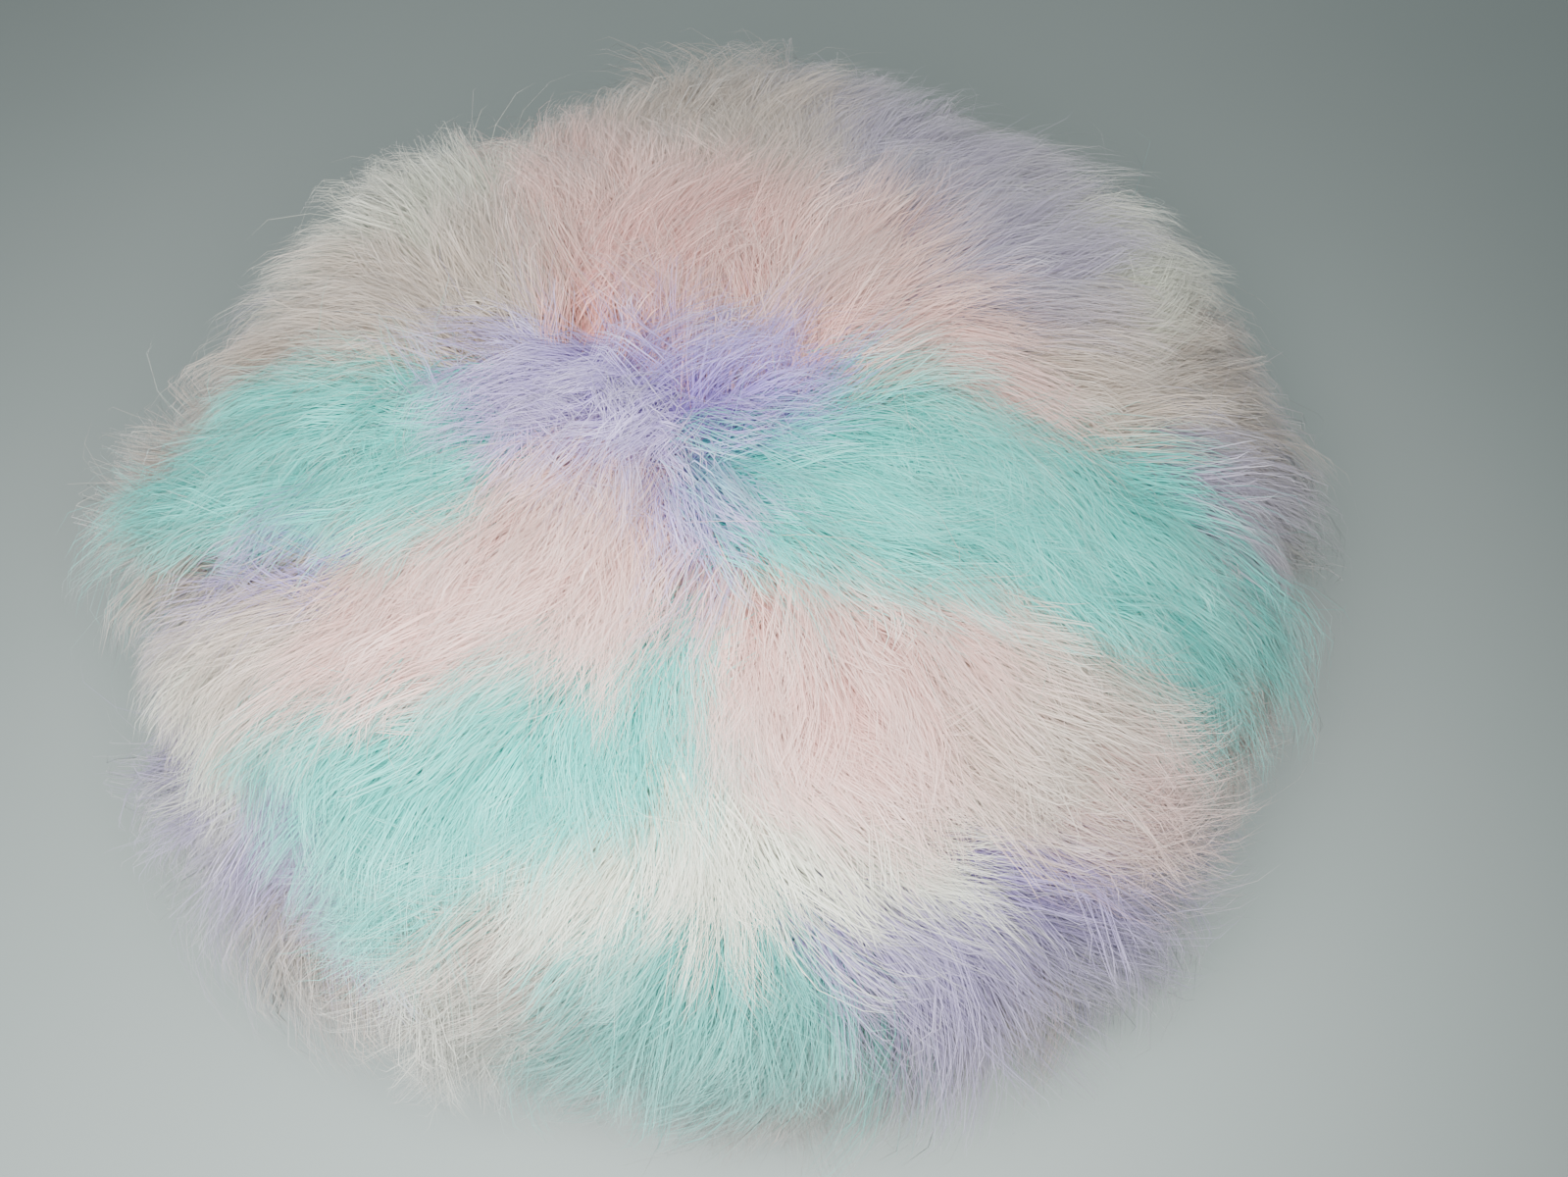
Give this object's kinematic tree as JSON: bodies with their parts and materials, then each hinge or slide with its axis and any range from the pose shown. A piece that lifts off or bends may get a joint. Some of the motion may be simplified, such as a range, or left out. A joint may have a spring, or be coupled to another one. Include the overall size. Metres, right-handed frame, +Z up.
{
  "type": "faux fur cushion",
  "caption": "Round domed floor cushion in long pastel faux fur, with a zipped cover of sewn gores over a fibre-filled inner pillow.",
  "frame": {"origin": "centre of the underside, on the floor that the cushion rests on", "axes": "+Z up through the crown; the rim seam lies in a plane of constant Z; -Y is the front and the zip is in the rear right quarter of the rim"},
  "size_m": [0.56, 0.56, 0.32],
  "materials": {
    "pastel_fur": "long-pile synthetic fur in soft patches of pink, lavender, mint and cream",
    "white_thread": "spun polyester thread",
    "zip_tape": "woven polyester tape",
    "zip_coil": "coiled nylon filament",
    "zip_metal": "plated zinc, slightly worn",
    "pillow_case": "plain white nonwoven case",
    "polyester_fibre": "loose crimped fibre filling",
    "label_ribbon": "blank satin ribbon"
  },
  "bodies": {
    "cushion": {"top_panel_rear_right": "pastel_fur", "top_panel_rear_left": "pastel_fur", "top_panel_front_left": "pastel_fur", "top_panel_front_right": "pastel_fur", "base_panel_rear_right": "pastel_fur", "base_panel_rear_left": "pastel_fur", "base_panel_front_left": "pastel_fur", "base_panel_front_right": "pastel_fur", "top_gore_stitching": "white_thread", "base_gore_stitching": "white_thread", "rim_stitching": "white_thread", "zip_stitching_upper": "white_thread", "zip_stitching_lower": "white_thread", "pillow_case_stitching": "white_thread", "closing_stitches": "white_thread", "zip_tape_upper": "zip_tape", "zip_tape_lower": "zip_tape", "zip_coil_upper": "zip_coil", "zip_coil_lower": "zip_coil", "zip_top_stops": "zip_metal", "zip_bottom_stop": "zip_metal", "pillow_case_top": "pillow_case", "pillow_case_base": "pillow_case", "fibre_filling": "polyester_fibre", "care_label": "label_ribbon"},
    "slider": {"zip_slider": "zip_metal"},
    "pull": {"zip_pull": "zip_metal"}
  },
  "joints": [
    {"name": "zip_travel", "type": "hinge", "parent": "cushion", "child": "slider", "pos_m": [0, 0, 0.15], "axis": [0, 0, 1], "range_deg": [-71, 0]},
    {"name": "pull_swing", "type": "hinge", "parent": "slider", "child": "pull", "pos_m": [0.01476, 0.23454, 0.15], "axis": [0, 0, 1], "range_deg": [0, 115]}
  ]
}
